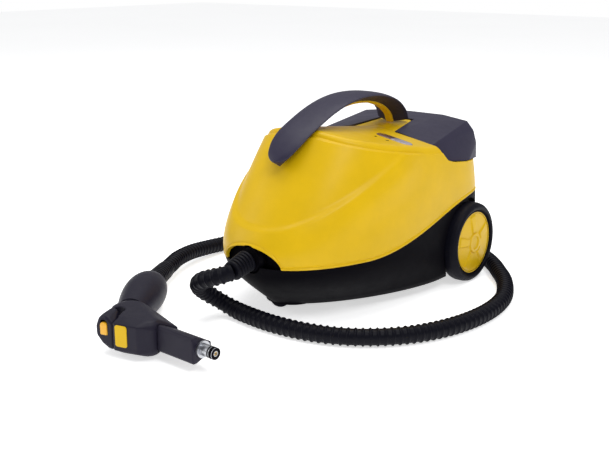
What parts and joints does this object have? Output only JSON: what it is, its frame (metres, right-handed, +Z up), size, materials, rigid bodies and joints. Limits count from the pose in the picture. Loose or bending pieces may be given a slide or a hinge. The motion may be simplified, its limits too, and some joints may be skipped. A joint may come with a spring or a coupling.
{
  "type": "canister steam cleaner",
  "caption": "Canister steam cleaner with a dark arched handle, hinged rear lid, two rear wheels, swivel caster and a corrugated hose to a steam gun.",
  "frame": {"origin": "floor level below the centre of the box round the machine and the gun, measured without the hose and its sleeves", "axes": "+Z up, the machine's nose towards -Y, the long direction along Y"},
  "size_m": [0.5245, 0.6812, 0.284],
  "materials": {
    "yellow_shell": "semi-gloss moulded plastic",
    "tray_plastic": "satin moulded plastic",
    "dark_cover": "semi-gloss moulded plastic",
    "gun_plastic": "satin moulded plastic",
    "black_plastic": "satin moulded plastic",
    "hose_rubber": "satin ribbed elastomer",
    "seal_rubber": "matte",
    "tyre_rubber": "matte",
    "steel": "plain",
    "brass": "machined",
    "boiler_alloy": "drawn sheet",
    "spigot_alloy": "turned",
    "white_plastic": "satin",
    "power_lens": "clear tinted",
    "ready_lens": "clear tinted",
    "lock_orange": "semi-gloss"
  },
  "bodies": {
    "machine": {"upper_shell": "yellow_shell", "lower_shell": "black_plastic", "hose_socket_plate": "black_plastic", "hose_collar": "black_plastic", "front_sleeve": "hose_rubber", "steam_hose": "hose_rubber", "gun_sleeve": "hose_rubber", "handle_cover": "dark_cover", "handle_core": "yellow_shell", "lid_hinge_pin": "steel", "lid_brackets": "steel", "accessory_tray": "tray_plastic", "filler_neck": "brass", "boiler_top": "boiler_alloy", "boiler_bottom": "boiler_alloy", "boiler_gasket": "seal_rubber", "boiler_bolts": "steel", "boiler_legs": "steel", "heating_element": "steel", "safety_thermostat": "white_plastic", "pressure_switch": "brass", "solenoid_valve": "brass", "steam_pipe": "steel", "power_lens": "power_lens", "ready_lens": "ready_lens", "lamp_holder": "white_plastic", "terminal_block": "white_plastic", "mains_gland": "black_plastic", "rear_axle": "steel", "caster_housing": "black_plastic", "shell_screws": "steel", "gun_grip": "gun_plastic", "gun_body": "gun_plastic", "gun_barrel": "gun_plastic", "gun_spigot": "spigot_alloy", "gun_o_ring": "seal_rubber", "gun_jet": "brass", "gun_lever_pin": "steel", "gun_lever_spring": "steel", "gun_panel": "yellow_shell", "gun_valve": "brass", "gun_steam_tube": "steel", "gun_switch": "black_plastic", "gun_screws": "steel"},
    "rear_lid": {"rear_lid": "dark_cover"},
    "cap_seal": {"cap_seal": "seal_rubber"},
    "filler_cap": {"filler_cap": "black_plastic", "cap_plug": "brass"},
    "left_wheel": {"left_wheel_hub": "black_plastic", "left_tyre": "tyre_rubber", "left_hubcap": "yellow_shell"},
    "right_wheel": {"right_wheel_hub": "black_plastic", "right_tyre": "tyre_rubber", "right_hubcap": "yellow_shell"},
    "caster_fork": {"caster_fork": "gun_plastic", "caster_axle": "steel"},
    "caster_wheel": {"caster_wheel": "tyre_rubber"},
    "gun_lever": {"gun_lever": "gun_plastic"},
    "gun_lock_button": {"gun_lock_button": "lock_orange"}
  },
  "joints": [
    {"name": "lid_hinge", "type": "hinge", "parent": "machine", "child": "rear_lid", "pos_m": [0.01804, 0.29306, 0.184], "axis": [-1, 0, 0], "range_deg": [0, 80]},
    {"name": "cap_lift", "type": "slide", "parent": "machine", "child": "cap_seal", "axis": [0, 0, 1], "range_m": [0, 0.006]},
    {"name": "cap_turn", "type": "hinge", "parent": "cap_seal", "child": "filler_cap", "pos_m": [0.01804, 0.25206, 0.2], "axis": [0, 0, 1], "range_deg": [0, 1080]},
    {"name": "left_wheel_spin", "type": "hinge", "parent": "machine", "child": "left_wheel", "pos_m": [0.14804, 0.23306, 0.0595], "axis": [1, 0, 0], "continuous": true},
    {"name": "right_wheel_spin", "type": "hinge", "parent": "machine", "child": "right_wheel", "pos_m": [-0.11196, 0.23306, 0.0595], "axis": [1, 0, 0], "continuous": true},
    {"name": "caster_swivel", "type": "hinge", "parent": "machine", "child": "caster_fork", "pos_m": [0.01804, -0.02294, 0.03], "axis": [0, 0, 1], "continuous": true},
    {"name": "caster_spin", "type": "hinge", "parent": "caster_fork", "child": "caster_wheel", "pos_m": [0.00493, -0.03212, 0.014], "axis": [0.5736, -0.8192, 0], "continuous": true},
    {"name": "lever_pull", "type": "hinge", "parent": "machine", "child": "gun_lever", "pos_m": [-0.02978, -0.29565, 0.0272], "axis": [0, 0, -1], "range_deg": [0, 5], "stiffness_Nm_per_rad": 0.6, "springref_deg": -5.16},
    {"name": "lock_slide", "type": "slide", "parent": "gun_lever", "child": "gun_lock_button", "axis": [0, 0, 1], "range_m": [0, 0.003]}
  ],
  "couplings": [
    {"joint": "cap_lift", "follows": "cap_turn", "m_per_rad": 0.000318}
  ]
}
